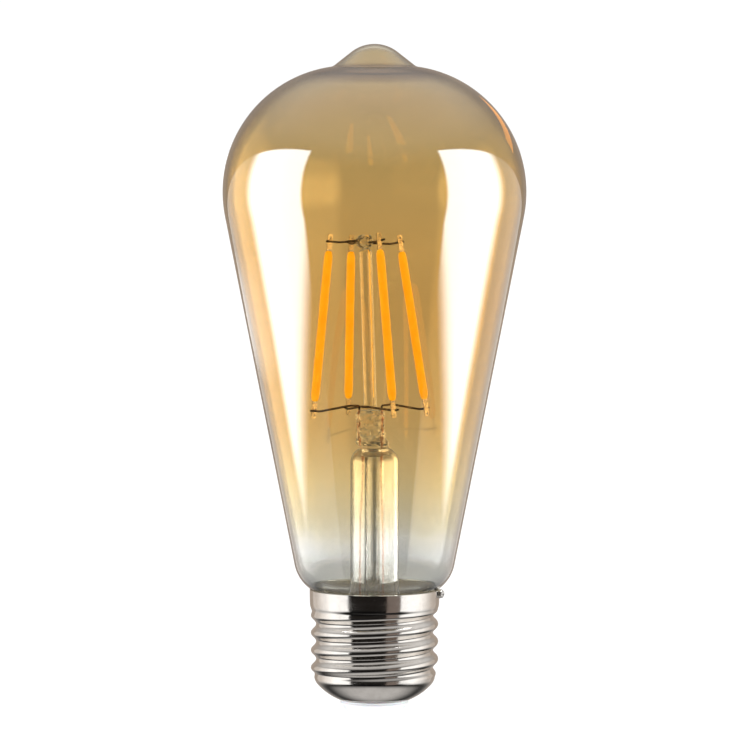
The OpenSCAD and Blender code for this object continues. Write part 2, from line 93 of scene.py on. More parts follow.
class Nodes:
    """Short ways to add nodes to the tree of a light or of the world."""

    def __init__(self, tree):
        self.tree = tree

    def add(self, kind, *values, **settings):
        node = self.tree.nodes.new(kind)
        for key, value in settings.items():
            setattr(node, key, value)
        for i, value in enumerate(values):
            if isinstance(value, bpy.types.NodeSocket):
                self.tree.links.new(value, node.inputs[i])
            else:
                node.inputs[i].default_value = value
        return node.outputs

    def math(self, kind, a, b=0.0):
        return self.add("ShaderNodeMath", a, b, operation=kind)[0]

    def ramp(self, value, low, high, to_low=0.0, to_high=1.0, kind="SMOOTHSTEP"):
        values = (value, low, high, to_low, to_high)
        return self.add("ShaderNodeMapRange", *values, interpolation_type=kind)[0]

    def line(self, value, low, high, to_low=0.0, to_high=1.0):
        return self.ramp(value, low, high, to_low, to_high, "LINEAR")


def area_light(name, at, target, size, radiance, colour=(1, 1, 1), shape=None):
    """An area light that isn't seen itself, not even through the glass. light_shape says what shape does."""
    data = bpy.data.lights.new(name, "AREA")
    data.shape = "RECTANGLE"
    data.size, data.size_y = size
    data.energy = radiance * math.pi * size[0] * size[1]
    data.color = colour
    if shape:
        light_shape(data, shape)
    light = bpy.data.objects.new(name, data)
    bpy.context.collection.objects.link(light)
    aim(light, at, target)
    light.visible_camera = False
    light.visible_transmission = False
    return light


def light_shape(data, shape):
    """Dims a light by shape(nodes, u, v), where u and v run from 0 to 1 over the light."""
    data.use_nodes = True
    nodes = Nodes(data.node_tree)
    where = nodes.add("ShaderNodeNewGeometry")["Parametric"]
    u, v, _ = nodes.add("ShaderNodeSeparateXYZ", where)
    nodes.tree.links.new(shape(nodes, u, v), nodes.tree.nodes["Emission"].inputs["Strength"])


FLOOR_Z, FLOOR_REACH = -0.62, 40
FLOOR_GLOW = 0.3


def make_floor():
    """A plain pale floor, which the lamp's glass and metal don't mirror."""
    mat = bpy.data.materials.new("floor_white")
    mat.use_nodes = True
    shader = mat.node_tree.nodes["Principled BSDF"]
    shader.inputs["Base Color"].default_value = (0.8, 0.8, 0.8, 1)
    shader.inputs["Roughness"].default_value = 0.9
    shader.inputs["Specular IOR Level"].default_value = 0.1
    shader.inputs["Emission Color"].default_value = (1, 1, 1, 1)
    shader.inputs["Emission Strength"].default_value = FLOOR_GLOW
    mesh = bpy.data.meshes.new("floor")
    far = FLOOR_REACH
    mesh.from_pydata([(-far, -far, 0), (far, -far, 0), (far, far, 0), (-far, far, 0)], [], [(0, 1, 2, 3)])
    mesh.materials.append(mat)
    panel = bpy.data.objects.new("floor", mesh)
    panel.matrix_world = Matrix.Translation((0, 0, FLOOR_Z))
    bpy.context.collection.objects.link(panel)
    panel.visible_glossy = False
    panel.visible_transmission = False


def make_studio():
    scene = bpy.context.scene
    scene.view_settings.view_transform = "Standard"
    scene.cycles.max_bounces = 40    # the stem's tubes and wires lie behind many walls of glass
    scene.cycles.transmission_bounces = 40
    make_floor()
    make_world(scene)


def room_light(nodes, y, z):
    """The room that glass and metal mirror: dim walls, dimmest by the camera, a ceiling, and a low glow."""
    walls = nodes.ramp(y, -0.72, 0.7, 0.012, 0.45)
    down = nodes.ramp(z, -0.6, -0.25, 0.1, 1.0)
    ceiling = nodes.ramp(z, 0.35, 0.8, 0.0, 0.5)
    glow = nodes.ramp(z, -0.95, -0.6, 0.55, 0.0)
    return nodes.math("ADD", nodes.math("MULTIPLY", walls, down), nodes.math("ADD", ceiling, glow))


def strip_light(nodes, x, z, slope):
    """Strips to both sides, brightest level with the lamp, for what misses the softboxes: see make_world."""
    sides = nodes.math("ADD", nodes.line(x, -0.82, -0.76, 1, 0), nodes.line(x, 0.42, 0.54))
    tall = nodes.math("MULTIPLY", nodes.line(z, -0.5, -0.4, 0, 2.0), nodes.line(z, 0.4, 0.5, 1, 0))
    level = nodes.line(slope, 0.16, 0.3, 2.6, 0.0)
    return nodes.math("MULTIPLY", sides, nodes.math("ADD", tall, level))


BACKDROP = 1.02
WHITE, WARM = (1, 1, 1, 1), (1.0, 0.84, 0.71, 1)
ONE_BOUNCE = 0.5
TWICE_THROUGH_THE_BULB = 3.5    # in and out again, each time through both faces of the glass


def make_world(scene):
    """White all round, but a dim, slightly warm room in reflections.
    Pieces inside the bulb and its back wall mirror strips too: their paths miss the softboxes."""
    world = bpy.data.worlds.new("studio")
    world.use_nodes = True
    scene.world = world
    nodes = Nodes(world.node_tree)
    x, y, z = nodes.add("ShaderNodeSeparateXYZ", nodes.add("ShaderNodeTexCoord")["Generated"])
    slope = nodes.math("ABSOLUTE", z)
    path = nodes.add("ShaderNodeLightPath")
    reflected = nodes.math("GREATER_THAN", path["Glossy Depth"], ONE_BOUNCE)
    inside = nodes.math("GREATER_THAN", path["Transmission Depth"], TWICE_THROUGH_THE_BULB)
    strips = nodes.math("MULTIPLY", strip_light(nodes, x, z, slope), inside)
    room = nodes.math("ADD", room_light(nodes, y, z), strips)
    strength = nodes.add("ShaderNodeMix", reflected, (0, 0, 0), BACKDROP, room)[0]

    outside = nodes.math("GREATER_THAN", nodes.math("SUBTRACT", reflected, inside), 0.5)
    warmth = nodes.math("MULTIPLY", outside, nodes.line(slope, 0.2, 0.5, 1.0, 0.15))
    tone = nodes.tree.nodes.new("ShaderNodeMix")
    tone.data_type = "RGBA"
    tone.inputs[6].default_value = WHITE
    tone.inputs[7].default_value = WARM
    nodes.tree.links.new(warmth, tone.inputs[0])

    back = nodes.tree.nodes["Background"]
    nodes.tree.links.new(tone.outputs[2], back.inputs["Color"])
    nodes.tree.links.new(strength, back.inputs["Strength"])


LEFT, RIGHT = -1, 1
HANDS = {LEFT: "left", RIGHT: "right"}
SOFTBOX_AT, SOFTBOX_SIZE, SOFTBOX_RADIANCE = (0.1, 0.055, 0.02), (0.3, 0.36), 12
SOFTBOX_SPILL = {LEFT: 0.12, RIGHT: 0.04}
FILL_AT, FILL_SIZE, FILL_RADIANCE = (0.6, 0.1, -0.01), (1.3, 1.1), 1.35
FILL_BACK = {LEFT: 0.2, RIGHT: 0.12}


def softbox_image(nodes, u, v, spill):
    """The softboxes' light: a slanting top, a front edge, and a bottom edge that climbs to the front.
    spill is how bright the part behind the lower half is."""
    y = nodes.math("ADD", nodes.math("MULTIPLY", u, SOFTBOX_SIZE[0]), SOFTBOX_AT[1] - SOFTBOX_SIZE[0] / 2)
    z = nodes.math("ADD", nodes.math("MULTIPLY", v, SOFTBOX_SIZE[1]), SOFTBOX_AT[2] - SOFTBOX_SIZE[1] / 2)
    front = nodes.ramp(y, -0.087, -0.078)
    top = nodes.ramp(nodes.math("ADD", z, nodes.math("MULTIPLY", y, 0.46)), 0.149, 0.153, 1, 0)
    bottom = nodes.ramp(nodes.math("ADD", z, nodes.math("MULTIPLY", y, 0.44)), 0.006, 0.036)
    lower = nodes.math("MULTIPLY", nodes.ramp(z, 0.035, 0.055), nodes.ramp(z, 0.06, 0.095, spill, 0))
    back = nodes.math("MAXIMUM", nodes.ramp(y, -0.004, 0.02, 1, 0.06), lower)
    body = nodes.math("MULTIPLY", nodes.math("MULTIPLY", front, top), nodes.math("MULTIPLY", bottom, back))
    heel = nodes.math("MULTIPLY", nodes.ramp(z, -0.14, -0.03), 0.05)
    return nodes.math("MAXIMUM", body, nodes.math("MULTIPLY", heel, nodes.ramp(z, 0.0, 0.03, 1, 0)))


def fill_image(nodes, u, v, back):
    """The fill lights fade down to back towards the back, and to nothing at their top and bottom."""
    ends = nodes.math("MULTIPLY", nodes.ramp(v, 0.1, 0.3), nodes.ramp(v, 0.72, 0.9, 1, 0))
    return nodes.math("MULTIPLY", nodes.ramp(u, 0.28, 0.78, 1, back), ends)


def facing_in(side, image, value):
    """The image as it lies on the light of one side, with u running to the back on both."""
    def shape(nodes, u, v):
        along = u if side == RIGHT else nodes.math("SUBTRACT", 1, u)
        return image(nodes, along, v, value)
    return shape


def side_light(name, side, at, size, radiance, colour, shape, receivers):
    """A light at the left or the right that faces the middle plane and lights only the receivers."""
    place = (side * at[0], at[1], at[2])
    light = area_light(f"{name}_{HANDS[side]}", place, (0, at[1], at[2]), size, radiance, colour, shape)
    light.light_linking.receiver_collection = receivers


def light_the_glass(glass_pieces):
    """Tall softboxes whose images run down the glass, and weaker lights for everything else."""
    glass = bpy.data.collections.new("glass_pieces")
    for obj in glass_pieces:
        glass.objects.link(obj)
    rest = bpy.data.collections.new("other_pieces")
    for obj in bpy.context.scene.objects:
        if obj.type == "MESH" and obj not in glass_pieces:
            rest.objects.link(obj)

    for side in (LEFT, RIGHT):
        shape = facing_in(side, softbox_image, SOFTBOX_SPILL[side])
        side_light("softbox", side, SOFTBOX_AT, SOFTBOX_SIZE, SOFTBOX_RADIANCE, (0.97, 0.98, 1), shape, glass)
        shape = facing_in(side, fill_image, FILL_BACK[side])
        side_light("fill", side, FILL_AT, FILL_SIZE, FILL_RADIANCE, (1, 1, 1), shape, rest)
    front = area_light("fill_front", (0.34, -0.5, -0.06), (0, 0, -0.06), (0.26, 0.6), 0.2, (1, 0.8, 0.7))
    front.light_linking.receiver_collection = rest
    glow = area_light("orange_glow", (0.27, 0.53, 0.25), (0.027, 0, 0.12), (0.24, 0.06), 1.6, (1, 0.35, 0.03))
    glow.light_linking.receiver_collection = glass


# ---------------------------------------------------------------- mesh helpers


SHARP = 38    # edges that bend more than this many degrees stay sharp


def piece(name, verts, faces, slot, replaced):
    """A closed mesh in the row frame, from points in millimetres, that stands for CAD nodes."""
    mesh = bpy.data.meshes.new(name)
    mesh.from_pydata([Vector(v) * MM for v in verts], [], faces)
    obj = bpy.data.objects.new(name, mesh)
    bpy.context.collection.objects.link(obj)
    bm = bmesh.new()
    bm.from_mesh(mesh)
    bmesh.ops.remove_doubles(bm, verts=bm.verts, dist=1e-7)
    bmesh.ops.recalc_face_normals(bm, faces=bm.faces)
    bm.to_mesh(mesh)
    bm.free()
    mesh.polygons.foreach_set("use_smooth", [True] * len(mesh.polygons))
    mesh.set_sharp_from_angle(angle=math.radians(SHARP))
    mesh.materials.append(MATS[slot])
    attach(obj, "root")
    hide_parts(*replaced)
    return obj


def grid_faces(rows, columns, start=0, loop=False):
    """Faces between rows of points, each row a closed ring. With loop, the last row joins the first."""
    faces = []
    for i in range(rows if loop else rows - 1):
        for j in range(columns):
            k = (j + 1) % columns
            a, b = start + i * columns, start + (i + 1) % rows * columns
            faces.append((a + j, a + k, b + k, b + j))
    return faces


def lathe(section, sides=128, at=None):
    """Points and faces of a closed solid of revolution. The section is a closed loop of (radius, height)."""
    at = at or (lambda r, a, z: (r * math.cos(a), r * math.sin(a), z))
    verts = [at(r, TURN * j / sides, z) for r, z in section for j in range(sides)]
    on_axis = section[0][0] < 1e-6 and section[-1][0] < 1e-6
    return verts, grid_faces(len(section), sides, loop=not on_axis)


def arc(centre, radius, start, end, step=1.5):
    n = max(2, math.ceil(abs(end - start) / step))
    angles = [math.radians(start + (end - start) * i / n) for i in range(n + 1)]
    return [(centre[0] + radius * math.cos(a), centre[1] + radius * math.sin(a)) for a in angles]


def rounded(points, bend, steps=8):
    """The path with each corner bent round over the length bend, as in the CAD."""
    points = [Vector(p) for p in points]
    path = [points[0]]
    for before, corner, after in zip(points, points[1:], points[2:]):
        a = corner + (before - corner).normalized() * bend
        b = corner + (after - corner).normalized() * bend
        for s in range(steps + 1):
            t = s / steps
            path.append(a * (1 - t) ** 2 + corner * 2 * t * (1 - t) + b * t * t)
    return path + [points[-1]]


CAP_ANGLES = [math.radians(a) for a in (20, 50, 75)]


def tube(path, radius, sides=14):
    """Points and faces of a round bar along a path, with rounded ends."""
    last = len(path) - 1
    tangents = [(path[min(i + 1, last)] - path[max(i - 1, 0)]).normalized() for i in range(last + 1)]
    side = tangents[0].orthogonal().normalized()
    rings = []
    for p, t in zip(path, tangents):
        side = (side - t * side.dot(t)).normalized()
        rings.append((p, side, t.cross(side), radius))

    def cap(ring, inwards):
        p, u, v, r = ring
        return [(p + inwards * r * (1 - math.cos(a)) * 0.6, u, v, r * math.sin(a)) for a in CAP_ANGLES]

    rings = cap(rings[0], tangents[0]) + rings[1:-1] + cap(rings[-1], -tangents[-1])[::-1]
    turns = [TURN * j / sides for j in range(sides)]
    verts = []
    for p, u, v, r in rings:
        verts += [p + (u * math.cos(a) + v * math.sin(a)) * r for a in turns]
    faces = grid_faces(len(rings), sides)
    faces += [tuple(reversed(range(sides))), tuple(range((len(rings) - 1) * sides, len(rings) * sides))]
    return verts, faces


def joined(*shapes):
    """One list of points and one of faces from several closed shapes."""
    verts, faces = [], []
    for some_verts, some_faces in shapes:
        start = len(verts)
        verts += some_verts
        faces += [tuple(start + i for i in face) for face in some_faces]
    return verts, faces


def ball(centre, radii, sides=24, rows=14):
    """Points and faces of an ellipsoid."""
    section = arc((0, 0), 1, -90, 90, 180 / rows)
    section = [(abs(r) if 0 < i < len(section) - 1 else 0, z) for i, (r, z) in enumerate(section)]
    verts, faces = lathe(section, sides)
    return [tuple(c + v * r for c, v, r in zip(centre, vert, radii)) for vert in verts], faces


def wobble(verts, size, scale, seed=0):
    """Moves the points by smooth noise: at most about size mm, over features scale mm wide."""
    offset = Vector((seed * 7.3, seed * 3.1, seed * 5.7))
    return [Vector(v) + noise.noise_vector(Vector(v) / scale + offset) * size for v in verts]


# ---------------------------------------------------------------- materials


class Shader:
    """A Principled material that is put together node by node."""

    def __init__(self, name, **values):
        self.mat = bpy.data.materials.new(name)
        self.mat.use_nodes = True
        self.tree = self.mat.node_tree
        self.bsdf = self.tree.nodes["Principled BSDF"]
        for key, value in values.items():
            self.set(key.replace("_", " "), value)

    def set(self, socket, value):
        target = self.bsdf.inputs[socket]
        if isinstance(value, bpy.types.NodeSocket):
            self.tree.links.new(value, target)
        elif target.type == "RGBA":
            target.default_value = (*value, 1)
        else:
            target.default_value = value

    def node(self, kind, outlet=0, inputs=None, **settings):
        n = self.tree.nodes.new(kind)
        for key, value in settings.items():
            setattr(n, key, value)
        for key, value in (inputs or {}).items():
            if isinstance(value, bpy.types.NodeSocket):
                self.tree.links.new(value, n.inputs[key])
            elif n.inputs[key].type == "RGBA" and len(value) == 3:
                n.inputs[key].default_value = (*value, 1)
            else:
                n.inputs[key].default_value = value
        return n.outputs[outlet]

    def place(self, scale=(1, 1, 1)):
        """Object coordinates in metres, stretched."""
        coords = self.node("ShaderNodeTexCoord", outlet="Object")
        return self.node("ShaderNodeMapping", inputs={"Vector": coords, "Scale": scale})

    def noise(self, size, detail=3.0, rough=0.5, stretch=(1, 1, 1)):
        """Noise from 0 to 1 whose features are size mm wide."""
        scale = tuple(s / (size * MM) for s in stretch)
        inputs = {"Vector": self.place(scale), "Scale": 1.0, "Detail": detail, "Roughness": rough}
        return self.node("ShaderNodeTexNoise", inputs=inputs)

    def height(self):
        coords = self.node("ShaderNodeTexCoord", outlet="Object")
        return self.node("ShaderNodeSeparateXYZ", outlet="Z", inputs={0: coords})

    def spread(self, value, low, high, to_low, to_high):
        inputs = {0: value, 1: low, 2: high, 3: to_low, 4: to_high}
        return self.node("ShaderNodeMapRange", inputs=inputs)

    def blend(self, share, a, b):
        return self.node("ShaderNodeMix", outlet=2, inputs={0: share, 6: a, 7: b}, data_type="RGBA")

    def math(self, kind, a, b):
        return self.node("ShaderNodeMath", inputs={0: a, 1: b}, operation=kind)

    def bump(self, value, depth):
        """Bump from a 0 to 1 value, depth in mm."""
        inputs = {"Height": value, "Distance": depth * MM, "Strength": 1.0}
        self.set("Normal", self.node("ShaderNodeBump", inputs=inputs))


# The tint of one wall of the glass, by height in millimetres
GLASS_TINT = [
    (26, (0.72, 0.72, 0.69)),
    (30.5, (0.655, 0.655, 0.62)),
    (32.8, (0.70, 0.70, 0.675)),
    (35.5, (0.80, 0.80, 0.785)),
    (41, (0.765, 0.715, 0.58)),
    (50, (0.80, 0.69, 0.465)),
    (61, (0.765, 0.605, 0.35)),
    (85, (0.77, 0.58, 0.30)),
    (105, (0.77, 0.60, 0.33)),
    (118, (0.715, 0.585, 0.345)),
    (128, (0.69, 0.57, 0.38)),
    (139, (0.68, 0.59, 0.41)),
]
EDGE_TINT = (0.30, 0.21, 0.145)


def amber_glass():
    """Thin amber coat, strongest on the dome and fading out down to the clear neck.
    It is browner where the dome is seen edge on, and in a ring round the tip's foot."""
    s = Shader("amber_glass", Transmission_Weight=1.0, IOR=1.7)
    facing = s.node("ShaderNodeLayerWeight", outlet="Facing", inputs={"Blend": 0.5})
    dome = s.spread(s.height(), 95 * MM, 122 * MM, 0.3, 1)
    edge = s.math("MULTIPLY", s.spread(facing, 0.64, 0.88, 0, 0.95), dome)
    over = s.spread(s.height(), 132 * MM, 133.1 * MM, 0, 1)
    under = s.spread(s.height(), 134 * MM, 135 * MM, 1, 0)
    edge = s.math("MAXIMUM", edge, s.math("MULTIPLY", over, under))
    drift = s.spread(s.noise(16, 2), 0.3, 0.7, -1.5 * MM, 1.5 * MM)
    height = s.spread(s.math("ADD", s.height(), drift), 0, LAMP_LENGTH * MM, 0, 1)
    tint = s.node("ShaderNodeValToRGB", inputs={0: height})
    ramp = tint.node.color_ramp
    while len(ramp.elements) < len(GLASS_TINT):
        ramp.elements.new(0.5)
    for stop, (z, colour) in zip(ramp.elements, GLASS_TINT):
        stop.position = z / LAMP_LENGTH
        stop.color = (*colour, 1)
    s.set("Base Color", s.blend(edge, tint, EDGE_TINT))
    s.set("Roughness", s.spread(s.noise(6, 4), 0.3, 0.75, 0.0, 0.03))
    s.bump(s.noise(22, 1), 0.05)
    return s.mat


def clear_glass():
    s = Shader("clear_glass", Transmission_Weight=1.0, IOR=1.56, Coat_Weight=0.8, Coat_IOR=1.9,
               Sheen_Weight=0.7, Sheen_Roughness=0.45)
    streaks = s.noise(0.7, 2, stretch=(1, 1, 0.06))
    s.set("Base Color", s.blend(s.noise(3, 2), (0.975, 0.975, 0.96), (0.995, 0.99, 0.98)))
    s.set("Roughness", s.spread(streaks, 0.3, 0.8, 0.0, 0.05))
    s.bump(streaks, 0.02)
    return s.mat


def plated_metal(name, colour, low=0.08, high=0.24, line=0.35, depth=0.004):
    """Bright plate with the fine lines that forming the sheet leaves round it, and a few dull patches."""
    s = Shader(name, Metallic=1.0)
    lines = s.noise(line, 3, 0.6, stretch=(0.02, 0.02, 1))
    patches = s.noise(2.6, 4, 0.6)
    dull = tuple(0.86 * c for c in colour)
    s.set("Base Color", s.blend(s.spread(patches, 0.35, 0.75, 0, 1), colour, dull))
    s.set("Roughness", s.spread(s.math("ADD", lines, patches), 0.7, 1.35, low, high))
    s.bump(lines, depth)
    return s.mat


def soft_solder():
    s = Shader("solder", Metallic=1.0)
    grain = s.noise(0.25, 4, 0.6)
    s.set("Base Color", s.blend(grain, (0.62, 0.60, 0.57), (0.80, 0.79, 0.76)))
    s.set("Roughness", s.spread(grain, 0.3, 0.7, 0.18, 0.45))
    s.bump(grain, 0.03)
    return s.mat


def white_moulding():
    s = Shader("white_insulator", Roughness=0.32, IOR=1.5, Subsurface_Weight=0.15, Subsurface_Scale=0.001)
    clouds = s.noise(2.4, 3)
    s.set("Base Color", s.blend(clouds, (0.86, 0.90, 0.95), (0.93, 0.95, 0.98)))
    s.bump(s.noise(0.35, 4, 0.6), 0.006)
    return s.mat


def cement():
    s = Shader("cement", IOR=1.45)
    crumbs = s.noise(0.5, 5, 0.65)
    s.set("Base Color", s.blend(crumbs, (0.42, 0.34, 0.22), (0.84, 0.78, 0.62)))
    s.set("Roughness", s.spread(crumbs, 0.2, 0.8, 0.55, 0.9))
    s.bump(crumbs, 0.06)
    return s.mat


def drawn_wire(name, colour, oxide, low=0.2, high=0.5):
    """Drawn wire with an oxide bloom and fine drag marks."""
    s = Shader(name, Metallic=1.0)
    bloom = s.spread(s.noise(0.8, 4, 0.6), 0.35, 0.65, 0, 1)
    s.set("Base Color", s.blend(bloom, colour, oxide))
    s.set("Roughness", s.spread(bloom, 0, 1, low, high))
    s.bump(s.noise(0.12, 3), 0.004)
    return s.mat


def phosphor():
    """Silicone filled with phosphor: deep orange, paler where it thins out at the ends, with a painted orange
    glow.
    """
    s = Shader("phosphor_coat", IOR=1.42, Roughness=0.38, Subsurface_Weight=0.35, Subsurface_Scale=0.0008)
    s.set("Subsurface Radius", (1.0, 0.5, 0.1))
    grains = s.noise(0.22, 4, 0.6)
    clouds = s.noise(2.5, 2)
    deep = s.blend(s.spread(clouds, 0.35, 0.65, 0, 1), (1.0, 0.45, 0.004), (1.0, 0.53, 0.02))
    s.set("Base Color", s.blend(s.spread(grains, 0.4, 0.8, 0, 0.5), deep, (1.0, 0.62, 0.08)))
    # Painted glow: the coat gives out orange light of its own, though the lamp is not lit
    s.set("Emission Color", (1.0, 0.47, 0.0))
    s.set("Emission Strength", 0.6)
    s.bump(grains, 0.012)
    return s.mat


def moulded(name, colour, other, low=0.3, high=0.55, size=0.4, depth=0.01):
    """Plain moulded, pressed or lacquered stuff with a slight grain and colour drift."""
    s = Shader(name)
    grain = s.noise(size, 4, 0.6)
    s.set("Base Color", s.blend(s.noise(size * 6, 3), colour, other))
    s.set("Roughness", s.spread(grain, 0.3, 0.7, low, high))
    s.bump(grain, depth)
    return s.mat


def board(name, mask, mask_light, copper):
    """Solder mask over a pattern of tracks, with weave just showing."""
    s = Shader(name, Roughness=0.35, IOR=1.5, Coat_Weight=0.3)
    cells = {"Vector": s.place((420, 420, 1)), "Scale": 1.0}
    tracks = s.node("ShaderNodeTexVoronoi", inputs=cells, feature="DISTANCE_TO_EDGE", distance="MANHATTAN")
    line = s.spread(tracks, 0.08, 0.12, 1, 0)
    base = s.blend(s.noise(0.5, 3), mask, mask_light)
    s.set("Base Color", s.blend(line, base, copper))
    s.bump(line, 0.02)
    return s.mat


MATS = {
    "amber_glass": amber_glass(),
    "clear_glass": clear_glass(),
    "nickel_plate": plated_metal("nickel_plate", (0.78, 0.75, 0.71), 0.07, 0.2),
    "contact_metal": plated_metal("contact_metal", (0.74, 0.71, 0.66), 0.15, 0.35, 0.2, 0.01),
    "solder": soft_solder(),
    "white_insulator": white_moulding(),
    "cement": cement(),
    "support_wire": drawn_wire("support_wire", (0.15, 0.115, 0.09), (0.045, 0.03, 0.02), 0.3, 0.55),
    "seal_wire": drawn_wire("seal_wire", (0.75, 0.40, 0.28), (0.36, 0.10, 0.05)),
    "copper_lead": drawn_wire("copper_lead", (0.86, 0.55, 0.40), (0.55, 0.27, 0.15), 0.15, 0.35),
    "phosphor_coat": phosphor(),
    "filament_carrier": moulded("filament_carrier", (0.86, 0.85, 0.80), (0.93, 0.92, 0.88)),
    "led_chip": moulded("led_chip", (0.35, 0.48, 0.75), (0.50, 0.62, 0.85), 0.1, 0.2),
    "filament_tab": drawn_wire("filament_tab", (0.62, 0.54, 0.43), (0.34, 0.27, 0.20), 0.12, 0.3),
    "circuit_board": board("circuit_board", (0.03, 0.20, 0.08), (0.05, 0.28, 0.12), (0.10, 0.42, 0.18)),
    "black_epoxy": moulded("black_epoxy", (0.02, 0.02, 0.022), (0.035, 0.035, 0.04), 0.4, 0.65),
    "capacitor_sleeve": moulded("capacitor_sleeve", (0.02, 0.025, 0.06), (0.03, 0.04, 0.09), 0.2, 0.35),
    "ferrite": moulded("ferrite", (0.05, 0.05, 0.055), (0.09, 0.09, 0.095), 0.5, 0.8, 0.3, 0.02),
    "enamel_copper": drawn_wire("enamel_copper", (0.70, 0.28, 0.10), (0.45, 0.14, 0.04), 0.15, 0.3),
    "resistor_coat": moulded("resistor_coat", (0.20, 0.42, 0.46), (0.28, 0.52, 0.55), 0.25, 0.4),
    "radio_board": board("radio_board", (0.01, 0.05, 0.20), (0.02, 0.08, 0.28), (0.10, 0.22, 0.50)),
    "shield_tin": plated_metal("shield_tin", (0.80, 0.80, 0.80), 0.2, 0.4),
    "tinned_wire": drawn_wire("tinned_wire", (0.85, 0.85, 0.84), (0.60, 0.60, 0.58), 0.2, 0.35),
    "sleeve_plastic": moulded("sleeve_plastic", (0.80, 0.80, 0.76), (0.88, 0.88, 0.84)),
}


def dress_cad_nodes():
    """Every CAD node gets the material of its slot."""
    for row in frame["record"]["subparts"]:
        node = frame["nodes"][row["node"]]
        node.data.materials.clear()
        node.data.materials.append(MATS[row["material_slot"]])


# ---------------------------------------------------------------- glass bulb

BULB_R, SHOULDER_R, SHOULDER_Z = 31.25, 26, 108.7
SIDE_ANGLE = 11.2
HEEL_R, HEEL_Z = 8, 31.8
NECK_R, NECK_FILLET, NECK_LOW = 11.3, 4, 20.5
TIP_R, TIP_SLOPE, TIP_FILLET = 7.7, 38, 1.6
GLASS_WALL = 0.8
HAIR = 0.016    # keeps the fine outline inside the coarser CAD mesh
BULB_SIDES = 160


def heading(start, end):
    return math.degrees(math.atan2(end[1] - start[1], end[0] - start[0]))


def bulb_centres():
    """Centres of the section's arcs, from the neck up to the tip. Each arc meets the next smoothly."""
    side = math.radians(SIDE_ANGLE)
    normal = np.array([math.cos(side), -math.sin(side)])
    shoulder = np.array([BULB_R - SHOULDER_R, SHOULDER_Z])
    top = shoulder + SHOULDER_R * normal
    low = top - np.array([math.tan(side), 1]) * (top[1] - HEEL_Z)
    heel = low - HEEL_R * normal
    reach = NECK_R + NECK_FILLET - heel[0]
    neck = np.array([NECK_R + NECK_FILLET, heel[1] - math.sqrt((HEEL_R + NECK_FILLET) ** 2 - reach**2)])
    tip = np.array([0, LAMP_LENGTH - TIP_R])
    slope = math.radians(TIP_SLOPE)
    start = tip + (TIP_R + TIP_FILLET) * np.array([math.sin(slope), math.cos(slope)])
    along = np.array([math.cos(slope), -math.sin(slope)])
    gap = start - shoulder
    b = float(gap @ along)
    fillet = start + along * (-b - math.sqrt(b * b - float(gap @ gap) + (SHOULDER_R + TIP_FILLET) ** 2))
    return neck, heel, shoulder, fillet, tip


def bulb_path(inset):
    """The section from the neck's end up to the tip, moved inwards by inset."""
    neck, heel, shoulder, fillet, tip = bulb_centres()
    side_top = np.array(arc(shoulder, SHOULDER_R - inset, -SIDE_ANGLE, -SIDE_ANGLE + 1)[0])
    side_low = np.array(arc(heel, HEEL_R - inset, -SIDE_ANGLE, -SIDE_ANGLE + 1)[0])
    side = [tuple(side_low + (side_top - side_low) * i / 24) for i in range(1, 24)]
    wall = [(NECK_R - inset, NECK_LOW), (NECK_R - inset, (NECK_LOW + neck[1]) / 2)]
    into_fillet = heading(fillet, shoulder) % 360
    return (
        wall
        + arc(neck, NECK_FILLET + inset, 180, heading(neck, heel), 3)
        + arc(heel, HEEL_R - inset, heading(heel, neck), -SIDE_ANGLE, 3)
        + side
        + arc(shoulder, SHOULDER_R - inset, -SIDE_ANGLE, heading(shoulder, fillet), 2)
        + arc(fillet, TIP_FILLET + inset, into_fillet, 270 - TIP_SLOPE, 6)
        + arc(tip, TIP_R - inset, 90 - TIP_SLOPE, 90, 4)[:-1]
        + [(0, LAMP_LENGTH - inset)]
    )


def make_bulb():
    sides = BULB_SIDES
    outer, inner = bulb_path(HAIR), bulb_path(GLASS_WALL)
    verts = [
        (r * math.cos(TURN * j / sides), r * math.sin(TURN * j / sides), z)
        for r, z in outer + inner
        for j in range(sides)
    ]
    start = len(outer) * sides
    lip = [(j, (j + 1) % sides, start + (j + 1) % sides, start + j) for j in range(sides)]
    faces = grid_faces(len(outer), sides) + grid_faces(len(inner), sides, start) + lip
    bulb = piece("glass_bulb", verts, faces, "amber_glass", ["glass_envelope"])
    bulb.visible_shadow = False
    return bulb


# ---------------------------------------------------------------- screw cap

CREST_R, ROOT_R, PITCH = 13.18, 12.08, 3.629
RIM_Z, RIM_R, SHEET = 26.65, 13.42, 0.25
CREST_LEFT_Z = 21.3
THREAD_LOW, THREAD_FULL_LOW, THREAD_FULL_TOP, THREAD_TOP = 8.3, 10.2, 21.0, 22.8
THREAD_MID = (CREST_R + ROOT_R) / 2
THREAD_AMP = (CREST_R - ROOT_R) / 2
NICK_ANGLE, NICK_HALF, NICK_DEPTH = -9, 8.5, 0.5
SHELL_STEP = 0.22
CROWN = [(7.2, 3.78), (8.4, 4.36), (9.4, 4.95), (10.3, 5.6), (11.05, 6.25), (11.7, 6.9)]
CROWN += [(12.15, 7.5), (12.42, 8.15), (12.5, 8.8), (12.56, 9.5)]
SKIRT = [(12.72, 21.6), (12.96, 22.2), (13.16, 22.8), (13.34, 23.5), (RIM_R - 0.02, 25), (RIM_R, RIM_Z)]


def smooth(x):
    u = min(1, max(0, x))
    return u * u * (3 - 2 * u)


def thread_share(z):
    rise = smooth((z - THREAD_LOW) / (THREAD_FULL_LOW - THREAD_LOW))
    return rise * smooth((THREAD_TOP - z) / (THREAD_TOP - THREAD_FULL_TOP))


